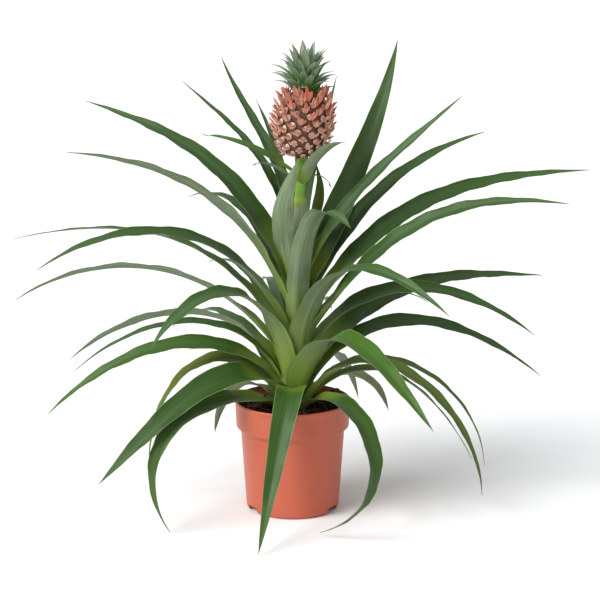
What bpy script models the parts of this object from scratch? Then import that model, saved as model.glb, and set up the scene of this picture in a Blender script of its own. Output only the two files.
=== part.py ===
"""A young ornamental pineapple in a twelve-centimetre nursery pot.

Metres, +Z up. The origin is the centre of the pot's flat underside, and -Y is the plant's front.
"""

import math

import bmesh
import bpy
from mathutils import Matrix, Vector

MM = 0.001

# Pot: radii and heights of the moulded profile.
POT_HEIGHT = 116 * MM
RIM_RADIUS = 60 * MM
COLLAR_RADIUS = 58.6 * MM
COLLAR_DEPTH = 27.7 * MM
STEP_DEPTH = 32 * MM
STEP_RADIUS = 53.8 * MM
FOOT_RADIUS = 48.3 * MM
FOOT_ROUND = 3.5 * MM
POT_WALL = 1.5 * MM
POT_SIDES = 48
SLOT_WIDTH = 18 * MM
SLOT_HEIGHT = 6 * MM
SLOT_TURNS = (90, 210, 330)
DRAIN_RADIUS = 4 * MM
DRAIN_CIRCLE = 26 * MM

# Soil and the plant's leaning axis.
GAP = 0.3 * MM
SOIL_TOP = 105.5 * MM
SOIL_FLOOR = POT_WALL + GAP
LEAN = 0.041
STEM_FOOT = SOIL_TOP + GAP
STEM_TOP = 252 * MM
STEM_LOW_RADIUS = 12.5 * MM
STEM_TOP_RADIUS = 6.2 * MM
STALK_RADIUS = 5.4 * MM
STALK_TOP = 370 * MM

# Fruit and crown.
FRUIT_FOOT = STALK_TOP + GAP
FRUIT_HEIGHT = 65 * MM
FRUIT_RADIUS = 26.5 * MM
BRACT_RISE = 5.5 * MM
FRUIT_COLUMNS = 12
FRUIT_ROWS = 8
CROWN_FOOT = FRUIT_FOOT + FRUIT_HEIGHT + GAP
CROWN_SIDES = 7
CROWN_TIERS = ((9.0, 0.0), (9.5, 5.0), (7.5, 10.0), (5.0, 15.0), (2.5, 19.0))  # core: radius, rise
CROWN_SPREAD = ((25, 19), (24, 28), (18, 34), (8, 35))  # tips of each tier: reach, climb
JOINT_HEIGHT = STEM_TOP + 73 * MM
STUB_PLACE = (-31 * MM, -1 * MM, 113.5 * MM)
LUMP_PLACE = (45 * MM, 16 * MM, 115.5 * MM)

LEAF_THICKNESS = 1.7 * MM
STATIONS = (0.0, 0.04, 0.10, 0.17, 0.25, 0.34, 0.43, 0.52, 0.61, 0.70, 0.79, 0.88, 0.95)

# Each leaf: heading (0 is +X, 90 is +Y), height of its base, launch angle above level, reach of the
# tip from the stem, height of the tip, angle of the tip above level, blade width, sideways sway of
# the tip, roll of the tip, and how firmly the blade holds its launch and its tip angle.
LEAVES = (
    # lowest ring, arching over the rim
    (-90, 123, 46, 157, 2, -50, 28, -34, 0, 0.42, 0.52),
    (-152, 109, 28, 153, 2, -120, 27, 24, -22, 0.60, 0.60),
    (-43, 109, 44, 86, 3, -156, 26, -52, 0, 0.66, 0.96),
    (172, 118, 60, 154, 31, -90, 19, 0, -25, 0.58, 0.70),
    (140, 110, 36, 110, 57, -80, 17, 0, 28, 0.50, 0.50),
    (47, 109, 36, 139, 75, -75, 16, -12, -28, 0.50, 0.40),
    (27, 113, 42, 219, 19, -62, 11, 0, 20, 0.44, 0.44),
    (8, 115.5, 58, 205, 34, -86, 12, 0, 20, 0.52, 0.47),
    (-20, 117, 62, 205, 34, -86, 17, 0, 18, 0.57, 0.50),
    (69, 113, 46, 205, 60, -60, 20, 0, 0, 0.45, 0.40),
    (98, 110, 46, 195, 45, -65, 17, 0, 0, 0.45, 0.40),
    # second ring
    (-150, 124, 54, 223, 60, -40, 30, 0, -35, 0.40, 0.38),
    (-54, 132, 70, 210, 130, -38, 30, 15, 10, 0.64, 0.45),
    (-174, 132, 53, 254, 107, -45, 24, 0, -24, 0.42, 0.42),
    (12, 128, 60, 268, 125, -40, 21, 0, 28, 0.50, 0.40),
    (80, 124, 50, 250, 150, -35, 20, 0, 0, 0.40, 0.40),
    (124, 122, 50, 245, 140, -40, 18, 0, 0, 0.40, 0.40),
    (53, 131, 50, 250, 170, -30, 16, 0, 0, 0.40, 0.40),
    (180, 140, 65, 227, 146, -42, 14, 0, -15, 0.46, 0.42),
    (-1, 164, 62, 247, 185, -38, 23, 0, 25, 0.50, 0.40),
    (99, 134, 52, 240, 185, -25, 18, 0, 0, 0.40, 0.40),
    # third ring
    (-136, 149, 80, 194, 204, -50, 26, 0, -18, 0.66, 0.42),
    (160, 146, 60, 256, 135, -42, 22, 0, 32, 0.41, 0.40),
    (28, 144, 50, 307, 214, -8, 23, 0, 30, 0.42, 0.40),
    (-66, 151, 83, 190, 240, -34, 24, 79, 16, 0.66, 0.45),
    (168, 161, 58, 302, 206, -34, 20, 0, 30, 0.42, 0.40),
    (114, 152, 56, 240, 212, -20, 16, 0, 0, 0.40, 0.40),
    (-10, 183, 58, 277, 333, -5, 25, -8, 28, 0.45, 0.40),
    (-166, 192, 68, 265, 268, -32, 25, 0, -16, 0.50, 0.40),
    (14, 198, 60, 317, 343, 0, 24, 0, 32, 0.44, 0.40),
    (162, 180, 60, 315, 265, -15, 14, 0, 0, 0.44, 0.40),
    (-88, 190, 88, 71, 311, -38, 20, 52, 0, 0.95, 0.30),
    # upper ring, standing up round the flower stalk
    (-176, 218, 70, 231, 378, 6, 22, 0, 35, 0.46, 0.35),
    (22, 216, 66, 212, 383, 12, 19, 0, 28, 0.43, 0.35),
    (128, 208, 72, 191, 300, -22, 18, 0, 0, 0.52, 0.35),
    (149, 236, 68, 264, 407, 12, 24, 0, -17, 0.45, 0.35),
    (37, 228, 65, 130, 480, 76, 28, 0, 42, 0.38, 0.35),
    (5, 247, 69, 166, 430, 42, 18, 0, 28, 0.38, 0.35),
    (132, 271, 79, 186, 428, 26, 12, 0, 0, 0.42, 0.35),
    (105, 258, 76, 180, 403, 20, 9, 0, 0, 0.40, 0.35),
    (118, 287, 77, 180, 452, 46, 14, 0, 0, 0.35, 0.35),
    (80, 276, 80, 112, 438, 66, 11, -20, 0, 0.35, 0.35),
    (-145, 240, 83, 10, 372, 115, 25, 17, 36, 0.45, 0.50),
    (34, 264, 78, 19, 362, 110, 15, -3, 18, 0.55, 0.45),
)

# Bracts on the flower stalk, in the same terms.
BRACTS = (
    (-80, 345, 50, 37, 390, 0, 13, 38, 0, 0.45, 0.12),
    (12, 350, 20, 30, 338, -75, 5, 0, 0, 0.40, 0.35),
    (172, 353, 36, 104, 391, 3, 9, 0, -30, 0.40, 0.35),
    (-155, 347, 34, 56, 366, -20, 8, 0, 25, 0.40, 0.35),
    (95, 346, 45, 60, 380, 0, 8, 0, 0, 0.40, 0.35),
)


def clear_scene():
    for obj in list(bpy.data.objects):
        bpy.data.objects.remove(obj, do_unlink=True)


def finish(name, colour, roughness, metallic=0.0):
    material = bpy.data.materials.new(name)
    material.use_nodes = True
    shader = material.node_tree.nodes["Principled BSDF"]
    shader.inputs["Base Color"].default_value = (*colour, 1.0)
    shader.inputs["Roughness"].default_value = roughness
    shader.inputs["Metallic"].default_value = metallic
    return material


def add_object(name, bm, material, smooth=True):
    """Turns a bmesh into a named object with its own material."""
    mesh = bpy.data.meshes.new(name)
    bm.to_mesh(mesh)
    bm.free()
    if smooth:
        mesh.shade_smooth()
        mesh.set_sharp_from_angle(angle=math.radians(40))
    mesh.materials.append(material)
    obj = bpy.data.objects.new(name, mesh)
    bpy.context.scene.collection.objects.link(obj)
    return obj


def axis_at(height):
    """The point of the plant's leaning axis at this height."""
    return Vector((LEAN * (height - SOIL_TOP), 0.0, height))


def turned(profile, sides):
    """A bmesh made by spinning an open outline that starts and ends on the axis."""
    bm = bmesh.new()
    corners = [bm.verts.new((radius, 0.0, height)) for radius, height in profile]
    edges = [bm.edges.new((a, b)) for a, b in zip(corners, corners[1:])]
    bmesh.ops.spin(
        bm, geom=corners + edges, axis=(0, 0, 1), cent=(0, 0, 0), steps=sides, angle=math.tau
    )
    bmesh.ops.remove_doubles(bm, verts=bm.verts, dist=0.01 * MM)
    bmesh.ops.recalc_face_normals(bm, faces=bm.faces)
    return bm


def arc(centre, radius, start, end, points):
    """Points of an arc in the radius-height plane, with angles in degrees."""
    found = []
    for index in range(points):
        angle = math.radians(start + (end - start) * index / (points - 1))
        found.append((centre[0] + radius * math.cos(angle), centre[1] + radius * math.sin(angle)))
    return found


def pot_profile():
    """Half of the pot's section, from the axis along the underside, up the outside and back in."""
    rim = POT_HEIGHT
    inner_foot = FOOT_RADIUS - POT_WALL
    outside = [(0.0, 0.0)]
    outside += arc((FOOT_RADIUS - FOOT_ROUND, FOOT_ROUND), FOOT_ROUND, -90, -5, 4)
    outside += [
        (STEP_RADIUS, rim - STEP_DEPTH),
        (COLLAR_RADIUS, rim - COLLAR_DEPTH),
        (RIM_RADIUS - 0.4 * MM, rim - 3 * MM),
        (RIM_RADIUS, rim - 2.2 * MM),
        (RIM_RADIUS, rim - 0.6 * MM),
        (RIM_RADIUS - 0.6 * MM, rim),
    ]
    inside = [
        (RIM_RADIUS - POT_WALL - 0.4 * MM, rim),
        (COLLAR_RADIUS - POT_WALL, rim - COLLAR_DEPTH + 0.5 * MM),
        (STEP_RADIUS - POT_WALL, rim - STEP_DEPTH + 0.5 * MM),
    ]
    inside += arc((inner_foot - 2 * MM, POT_WALL + 2 * MM), 2 * MM, -5, -90, 3)
    inside += [(0.0, POT_WALL)]
    return outside + inside


def cut(target, name, bm):
    """Cuts a hidden cutter, made from a bmesh, out of an object."""
    cutter = add_object(name, bm, target.data.materials[0], smooth=False)
    cutter.hide_render = True
    cutter.display_type = "WIRE"
    boolean = target.modifiers.new(name, "BOOLEAN")
    boolean.operation = "DIFFERENCE"
    boolean.object = cutter


def slot_cutter():
    """Three round-cornered blocks that open drain slots through the pot's bottom corner."""
    bm = bmesh.new()
    depth = 12 * MM
    for turn in SLOT_TURNS:
        made = bmesh.ops.create_cube(bm, size=1.0)["verts"]
        bmesh.ops.scale(bm, vec=(depth, SLOT_WIDTH, 2 * SLOT_HEIGHT), verts=made)
        uprights = {
            edge
            for vert in made
            for edge in vert.link_edges
            if abs(edge.verts[0].co.y - edge.verts[1].co.y) < MM
            and abs(edge.verts[0].co.z - edge.verts[1].co.z) < MM
        }
        rounded = bmesh.ops.bevel(
            bm, geom=list(uprights), offset=2.5 * MM, segments=3, profile=0.5, affect="EDGES"
        )
        piece = {vert for face in rounded["faces"] for vert in face.verts} | {
            vert for vert in made if vert.is_valid
        }
        bmesh.ops.translate(bm, vec=(FOOT_RADIUS + 1 * MM, 0, 0), verts=list(piece))
        bmesh.ops.rotate(
            bm, cent=(0, 0, 0), matrix=Matrix.Rotation(math.radians(turn), 3, "Z"), verts=list(piece)
        )
    return bm


def drain_cutter():
    """Three round holes through the pot's floor."""
    bm = bmesh.new()
    for turn in SLOT_TURNS:
        angle = math.radians(turn + 60)
        place = Matrix.Translation((DRAIN_CIRCLE * math.cos(angle), DRAIN_CIRCLE * math.sin(angle), 0))
        bmesh.ops.create_cone(
            bm, cap_ends=True, segments=16, radius1=DRAIN_RADIUS, radius2=DRAIN_RADIUS, depth=8 * MM,
            matrix=place,
        )
    return bm


def make_pot(plastic):
    pot = add_object("pot", turned(pot_profile(), POT_SIDES), plastic)
    cut(pot, "slot_cutter", slot_cutter())
    cut(pot, "drain_cutter", drain_cutter())


def make_soil(peat):
    """The root ball: it fills the pot up to a slightly uneven top."""
    clear = POT_WALL + GAP + 0.3 * MM
    step = POT_HEIGHT - STEP_DEPTH
    edge = COLLAR_RADIUS - clear
    profile = [
        (0.0, SOIL_FLOOR),
        (FOOT_RADIUS - clear - 3 * MM, SOIL_FLOOR + 0.2 * MM),
        (FOOT_RADIUS - clear - 1 * MM, SOIL_FLOOR + 3 * MM),
        (STEP_RADIUS - clear - 0.4 * MM, step - 1 * MM),
        (edge - 1 * MM, POT_HEIGHT - COLLAR_DEPTH + 3 * MM),
        (edge, SOIL_TOP - 2 * MM),
        (edge - 3 * MM, SOIL_TOP),
        (38 * MM, SOIL_TOP + 0.5 * MM),
        (26 * MM, SOIL_TOP),
        (0.0, SOIL_TOP),
    ]
    bm = turned(profile, 32)
    for vert in bm.verts:
        reach = math.hypot(vert.co.x, vert.co.y)
        if vert.co.z > SOIL_TOP - 0.1 * MM and 30 * MM < reach:
            turn = math.atan2(vert.co.y, vert.co.x)
            vert.co.z += (math.sin(5 * turn) + math.cos(3 * turn + 1)) * 0.9 * MM
    add_object("soil", bm, peat)


def make_stem(bark):
    """The short woody stem that the leaves sit on, leaning with the plant."""
    profile = [
        (0.0, STEM_FOOT),
        (STEM_LOW_RADIUS, STEM_FOOT),
        (STEM_LOW_RADIUS, STEM_FOOT + 20 * MM),
        (STEM_TOP_RADIUS, STEM_TOP),
        (0.0, STEM_TOP),
    ]
    bm = turned(profile, 16)
    for vert in bm.verts:
        vert.co.x += axis_at(vert.co.z).x
    add_object("stem", bm, bark)


def make_stalk(green):
    """The flower stalk, with the swollen ring of its joint."""
    foot = STEM_TOP + GAP
    profile = [
        (0.0, foot),
        (STALK_RADIUS, foot),
        (STALK_RADIUS, JOINT_HEIGHT - 4 * MM),
        (STALK_RADIUS + 0.9 * MM, JOINT_HEIGHT),
        (STALK_RADIUS, JOINT_HEIGHT + 4 * MM),
        (STALK_RADIUS, STALK_TOP - 6 * MM),
        (STALK_RADIUS + 1.5 * MM, STALK_TOP),
        (0.0, STALK_TOP),
    ]
    bm = turned(profile, 16)
    for vert in bm.verts:
        vert.co.x += axis_at(vert.co.z).x
    add_object("flower_stalk", bm, green)


def make_fruit(coral):
    """A barrel of fruitlets, each raised to a point that flares upward."""
    bm = bmesh.new()
    rings = []
    for row in range(FRUIT_ROWS + 1):
        climb = math.radians(-66 + 132 * row / FRUIT_ROWS)
        radius = FRUIT_RADIUS * math.cos(climb) ** 0.75
        height = FRUIT_FOOT + FRUIT_HEIGHT * (0.5 + 0.5 * math.sin(climb) / math.sin(math.radians(66)))
        centre = axis_at(height)
        shift = 0.5 * (row % 2)
        ring = []
        for column in range(FRUIT_COLUMNS):
            turn = math.tau * (column + shift) / FRUIT_COLUMNS
            ring.append(bm.verts.new(centre + Vector((math.cos(turn), math.sin(turn), 0)) * radius))
        rings.append(ring)
    fruitlets = []
    for row, (low, high) in enumerate(zip(rings, rings[1:])):
        slide = row % 2
        for column in range(FRUIT_COLUMNS):
            after = (column + 1) % FRUIT_COLUMNS
            if slide:
                fruitlets.append(bm.faces.new((low[column], high[after], high[column])))
                fruitlets.append(bm.faces.new((low[column], low[after], high[after])))
            else:
                fruitlets.append(bm.faces.new((low[column], low[after], high[column])))
                fruitlets.append(bm.faces.new((low[after], high[after], high[column])))
    bm.faces.new(list(reversed(rings[0])))
    bm.faces.new(rings[-1])
    bm.normal_update()
    poked = bmesh.ops.poke(bm, faces=fruitlets, offset=0.0)
    centre = axis_at(FRUIT_FOOT + 0.5 * FRUIT_HEIGHT)
    for tip in poked["verts"]:
        outward = (tip.co - centre).normalized()
        tip.co += outward * BRACT_RISE * 0.8 + Vector((0, 0, 0.35 * BRACT_RISE))
    bmesh.ops.recalc_face_normals(bm, faces=bm.faces)
    add_object("fruit", bm, coral, smooth=False)


def make_crown(green):
    """The tuft on the fruit: a short core whose faces are drawn out into curving leaves."""
    bm = bmesh.new()
    rings = []
    for index, (radius, rise) in enumerate(CROWN_TIERS):
        centre = axis_at(CROWN_FOOT + rise * MM)
        ring = []
        for side in range(CROWN_SIDES):
            turn = math.tau * (side + 0.5 * index) / CROWN_SIDES
            ring.append(bm.verts.new(centre + Vector((math.cos(turn), math.sin(turn), 0)) * radius * MM))
        rings.append(ring)
    walls = []
    for index, (low, high) in enumerate(zip(rings, rings[1:])):
        for side in range(CROWN_SIDES):
            after = (side + 1) % CROWN_SIDES
            face = bm.faces.new((low[side], low[after], high[after], high[side]))
            walls.append((face, CROWN_SPREAD[index]))
    bm.faces.new(list(reversed(rings[0])))
    bm.faces.new(rings[-1])
    bmesh.ops.recalc_face_normals(bm, faces=bm.faces)
    for face, (out, up) in walls:
        middle = face.calc_center_median()
        axis = axis_at(middle.z)
        away = (middle - axis).normalized()
        for share, width in ((0.5, 0.62), (1.0, 0.0)):
            grown = bmesh.ops.extrude_discrete_faces(bm, faces=[face])["faces"][0]
            bend = share * share
            goal = middle + away * out * MM * (0.35 * share + 0.65 * bend) + Vector((0, 0, up * MM * share))
            now = grown.calc_center_median()
            first = middle if share == 0.5 else now
            for vert in grown.verts:
                vert.co = goal + (vert.co - first) * width
            face = grown
        bmesh.ops.pointmerge(bm, verts=list(face.verts), merge_co=goal)
    bmesh.ops.dissolve_degenerate(bm, dist=0.01 * MM, edges=bm.edges)
    bmesh.ops.recalc_face_normals(bm, faces=bm.faces)
    add_object("crown", bm, green)


def blade_width(share):
    """A leaf's width at a share of its length: a neat foot, a long even blade and a drawn-out tip."""
    foot = 0.28 * max(0.0, 1 - share / 0.12) ** 2
    return 1.05 - foot - 0.27 * share - 0.78 * share**3


def clasp(share):
    """Half the angle that the blade's section bends through: gutter-like at the foot, flatter outwards."""
    return math.radians(26 + 26 * max(0.0, 1 - share / 0.2) ** 1.5)


class Midrib:
    """The curve down the middle of one leaf, and its frame."""

    def __init__(self, values, foot_radius):
        turn, base, launch, reach, tip, tip_angle, _, sway, roll, hold, tip_hold = values
        self.heading = math.radians(turn)
        self.roll = math.radians(roll)
        self.centre = axis_at(base * MM)
        start = Vector((foot_radius, 0.0, base * MM))
        end = Vector((reach * MM, sway * MM, tip * MM))
        span = (end - start).length
        rise, fall = math.radians(launch), math.radians(tip_angle)
        half_sway = Vector((0.0, 0.5 * sway * MM, 0.0))
        self.points = (
            start,
            start + Vector((math.cos(rise), 0.0, math.sin(rise))) * span * hold,
            end - Vector((math.cos(fall), 0.0, math.sin(fall))) * span * tip_hold - half_sway,
            end,
        )

    def at(self, share):
        """Position, lateral direction and upper-face normal at a share of the curve."""
        a, b, c, d = self.points
        back = 1 - share
        place = a * back**3 + b * 3 * back**2 * share + c * 3 * back * share**2 + d * share**3
        along = (b - a) * 3 * back**2 + (c - b) * 6 * back * share + (d - c) * 3 * share**2
        along.normalize()
        side = Vector((0, 1, 0))
        side = (side - along * side.dot(along)).normalized()
        normal = along.cross(side)
        settled = min(1.0, share / 0.4)
        roll = Matrix.Rotation(self.roll * settled**2 * (3 - 2 * settled), 3, along)
        turn = Matrix.Rotation(self.heading, 3, "Z")
        spot = turn @ place + Vector((self.centre.x, 0, 0))
        return spot, turn @ (roll @ side), turn @ (roll @ normal)


def leaf_section(midrib, share, width):
    """Four corners of the blade: the two margins, the middle of the upper face and of the under face."""
    spot, side, normal = midrib.at(share)
    bend = clasp(share)
    half = 0.5 * width * math.sin(bend) / bend
    lift = 0.5 * width * (1 - math.cos(bend)) / bend
    thickness = LEAF_THICKNESS * (1 - 0.45 * share)
    return (
        spot + side * half + normal * lift,
        spot,
        spot - side * half + normal * lift,
        spot - normal * thickness,
    )


def make_leaf(name, values, foot_radius, green):
    """One closed, channelled leaf, lofted station by station from its foot to its tip.

    Each side is split from its margin to its middle, so that the two faces never cross where it twists.
    """
    midrib = Midrib(values, foot_radius)
    width = values[6] * MM
    bm = bmesh.new()
    rings = []
    for share in STATIONS:
        section = leaf_section(midrib, share, width * blade_width(share))
        rings.append([bm.verts.new(place) for place in section])
    bm.faces.new(rings[0])
    for low, high in zip(rings, rings[1:]):
        for margin, middle in ((0, 1), (2, 1), (2, 3), (0, 3)):
            bm.faces.new((low[margin], low[middle], high[middle]))
            bm.faces.new((low[margin], high[middle], high[margin]))
    tip = bm.verts.new(midrib.at(1.0)[0])
    for corner, after in zip(rings[-1], rings[-1][1:] + rings[-1][:1]):
        bm.faces.new((corner, after, tip))
    bmesh.ops.recalc_face_normals(bm, faces=bm.faces)
    add_object(name, bm, green)


def stem_radius(height):
    """The stem's radius at this height, or the flower stalk's above it."""
    if height >= STEM_TOP:
        return STALK_RADIUS
    taper = max(0.0, (height - STEM_FOOT - 20 * MM) / (STEM_TOP - STEM_FOOT - 20 * MM))
    return STEM_LOW_RADIUS + (STEM_TOP_RADIUS - STEM_LOW_RADIUS) * taper


def make_leaves(green):
    for index, values in enumerate(LEAVES, start=1):
        foot = stem_radius(values[1] * MM) * 1.12 + 2 * MM
        make_leaf(f"leaf_{index:02d}", values, foot, green)


def make_bracts(green):
    for index, values in enumerate(BRACTS, start=1):
        make_leaf(f"bract_{index}", values, STALK_RADIUS + 2.2 * MM, green)


def make_litter(bark):
    """What lies on the soil: the fibrous stub of an old leaf and a lump of bark."""
    bm = bmesh.new()
    bmesh.ops.create_cone(
        bm, cap_ends=True, segments=8, radius1=3.5 * MM, radius2=1.2 * MM, depth=13 * MM,
        matrix=Matrix.Translation(STUB_PLACE) @ Matrix.Rotation(-0.25, 4, "Y"),
    )
    add_object("old_leaf_stub", bm, bark)
    bm = bmesh.new()
    bmesh.ops.create_icosphere(
        bm, subdivisions=2, radius=7.5 * MM,
        matrix=Matrix.Translation(LUMP_PLACE) @ Matrix.Diagonal((1.1, 0.9, 0.8, 1)),
    )
    add_object("bark_lump", bm, bark)


def main():
    clear_scene()
    plastic = finish("coral_plastic", (0.68, 0.17, 0.10), 0.45)
    peat = finish("peat", (0.035, 0.022, 0.015), 0.95)
    bark = finish("bark", (0.12, 0.07, 0.04), 0.9)
    leaf_green = finish("leaf_green", (0.10, 0.20, 0.06), 0.45)
    stalk_green = finish("stalk_green", (0.20, 0.32, 0.10), 0.5)
    coral = finish("coral_fruit", (0.65, 0.16, 0.08), 0.5)
    make_pot(plastic)
    make_soil(peat)
    make_stem(bark)
    make_stalk(stalk_green)
    make_fruit(coral)
    make_crown(leaf_green)
    make_leaves(leaf_green)
    make_bracts(stalk_green)
    make_litter(bark)


main()
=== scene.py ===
"""The looks of a young ornamental pineapple in a nursery pot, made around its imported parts.

Metres, +Z up. The pot stands on the floor at the origin and the plant's front faces -Y.
"""

import math
import random

import bpy
import numpy as np
from mathutils import Matrix, Vector, noise


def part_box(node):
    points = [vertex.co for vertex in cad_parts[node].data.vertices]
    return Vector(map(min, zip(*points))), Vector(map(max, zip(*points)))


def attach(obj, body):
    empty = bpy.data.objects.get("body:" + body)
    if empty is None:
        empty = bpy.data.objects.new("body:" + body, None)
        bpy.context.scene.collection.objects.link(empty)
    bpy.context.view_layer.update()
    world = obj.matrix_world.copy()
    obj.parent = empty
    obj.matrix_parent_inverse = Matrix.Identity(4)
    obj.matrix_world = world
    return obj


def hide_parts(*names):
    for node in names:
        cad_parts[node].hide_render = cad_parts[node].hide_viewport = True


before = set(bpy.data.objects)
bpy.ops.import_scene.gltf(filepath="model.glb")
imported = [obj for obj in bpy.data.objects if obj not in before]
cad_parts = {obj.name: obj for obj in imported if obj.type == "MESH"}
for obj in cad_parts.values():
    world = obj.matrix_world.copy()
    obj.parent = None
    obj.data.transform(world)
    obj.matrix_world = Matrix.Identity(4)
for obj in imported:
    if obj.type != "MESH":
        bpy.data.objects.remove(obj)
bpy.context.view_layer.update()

MM = 0.001
LEAF_ROWS = 64
LEAF_COLUMNS = 12
LEAF_SKIN = 1.3 * MM

# Leaves that differ from a plain deep green one: how deep the green is, how far it has yellowed
# and how strong the painted sheen is, a pale grey-green reflection painted on the upper face.
LEAF_LOOKS = {
    1: (0.80, 0.02, 0.05), 2: (0.75, 0.10, 0.15), 3: (0.70, 0.05, 0.15), 4: (0.30, 0.70, 0.10),
    5: (0.10, 0.35, 0.0), 6: (0.15, 0.75, 0.0), 7: (0.30, 0.35, 0.20), 8: (0.45, 0.20, 0.40),
    9: (0.60, 0.45, 0.20), 12: (0.90, 0.0, 0.15), 13: (0.25, 0.05, 0.05), 14: (0.60, 0.05, 0.20),
    22: (0.70, 0.0, 0.50), 25: (0.65, 0.0, 0.35), 31: (0.70, 0.0, 0.45), 32: (0.60, 0.0, 0.60),
    38: (0.60, 0.0, 0.75), 43: (0.60, 0.0, 0.60), 44: (0.80, 0.35, 0.0),
}
PLAIN_LOOK = (0.85, 0.0, 0.25)

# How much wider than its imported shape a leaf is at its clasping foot, and towards its tip.
FOOT_FLARE = {
    1: 0.12, 3: 0.15, 5: 0.5, 6: 0.5, 13: 0.50, 22: 0.50, 25: 0.50, 29: 0.35, 32: 0.22, 43: 0.0, 44: 0.2,
}
PLAIN_FLARE = 0.32
SHOULDER = {2: -0.5, 5: 0.4, 6: 0.4, 32: 0.9, 43: 0.7, 44: 0.5}

# How sharply a leaf is folded along its middle: 1 is a plain V, and more is a rounder channel.
KEEL = {13: 1.35, 22: 1.35, 25: 1.25, 32: 1.2, 43: 1.2}
PLAIN_KEEL = 1.3
CLASP_LENGTH = 9 * MM

# How far up the flower stalk its joint sits, and the counts and spirals of the crown and the fruit.
STALK_JOINT = 73 * MM
CROWN_BLADES = 42
FRUITLETS = 118
CROWN_TURN = 137.5
FRUIT_TURN = 137.508

# The moulded pot's wall, and its radii at the foot, under the step and at the collar.
POT_WALL = 1.5 * MM
POT_FOOT = 48.3 * MM
POT_STEP = 53.8 * MM
POT_COLLAR = 58.6 * MM
FOOT_ROUND = 3.5 * MM
DRAIN_CIRCLE = 26 * MM

# ---------------------------------------------------------------- handling objects


def deselect():
    for obj in list(bpy.context.selected_objects):
        obj.select_set(False)


def activate(obj):
    """Makes this the one selected and active object."""
    deselect()
    obj.select_set(True)
    bpy.context.view_layer.objects.active = obj
    return obj


def added(name):
    """The object that a primitive operator has just made, under its own name."""
    obj = bpy.context.view_layer.objects.active
    obj.name = name
    obj.data.name = name
    return obj


def apply_modifiers(obj):
    activate(obj)
    for modifier in list(obj.modifiers):
        bpy.ops.object.modifier_apply(modifier=modifier.name)


def join(name, pieces):
    """One object made of several."""
    deselect()
    for piece in pieces:
        piece.select_set(True)
    bpy.context.view_layer.objects.active = pieces[0]
    bpy.ops.object.join()
    return added(name)


def points_of(obj):
    flat = np.empty(len(obj.data.vertices) * 3, np.float32)
    obj.data.vertices.foreach_get("co", flat)
    return flat.reshape(-1, 3).astype(float)


def move_points(obj, points):
    obj.data.vertices.foreach_set("co", np.asarray(points, np.float32).ravel())
    obj.data.update()


def give_value(obj, name, values):
    """Stores one number for each point, for the materials to read."""
    layer = obj.data.attributes.get(name) or obj.data.attributes.new(name, "FLOAT", "POINT")
    values = np.broadcast_to(np.asarray(values, np.float32), len(obj.data.vertices))
    layer.data.foreach_set("value", np.ascontiguousarray(values))


def stamp(template, name, matrix):
    """A copy of a modelled shape with a mesh of its own, put in place by a matrix."""
    mesh = template.data.copy()
    mesh.transform(matrix)
    obj = bpy.data.objects.new(name, mesh)
    bpy.context.scene.collection.objects.link(obj)
    return obj


def discard(obj):
    bpy.data.objects.remove(obj, do_unlink=True)


def put_on(obj, nodes, slot, *materials):
    """Gives a finished piece its materials and smooth shading, puts it on the plant's body and hides the CAD
    nodes it stands for.
    """
    while len(obj.data.materials) < len(materials):
        obj.data.materials.append(None)
    for place, material in enumerate(materials):
        obj.data.materials[place] = material
    activate(obj)
    bpy.ops.object.shade_smooth_by_angle(angle=math.radians(50))
    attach(obj, "root")
    if nodes:
        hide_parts(*nodes)
    return obj


# ---------------------------------------------------------------- material graphs


class Value:
    """A node's output that can be used in arithmetic."""

    def __init__(self, graph, socket):
        self.graph = graph
        self.socket = socket

    def maths(self, operation, *terms):
        return self.graph.node("Math", {"operation": operation}, *terms)

    def __add__(self, other):
        return self.maths("ADD", self, other)

    __radd__ = __add__

    def __sub__(self, other):
        return self.maths("SUBTRACT", self, other)

    def __rsub__(self, other):
        return self.maths("SUBTRACT", other, self)

    def __mul__(self, other):
        return self.maths("MULTIPLY", self, other)

    __rmul__ = __mul__

    def __abs__(self):
        return self.maths("ABSOLUTE", self)

    def sine(self):
        return self.maths("SINE", self)

    def over(self, start, end):
        """0 below start, 1 above end, and even between them; start may be the larger."""
        return self.graph.node("MapRange", {"clamp": True}, self, start, end, 0.0, 1.0)


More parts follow.
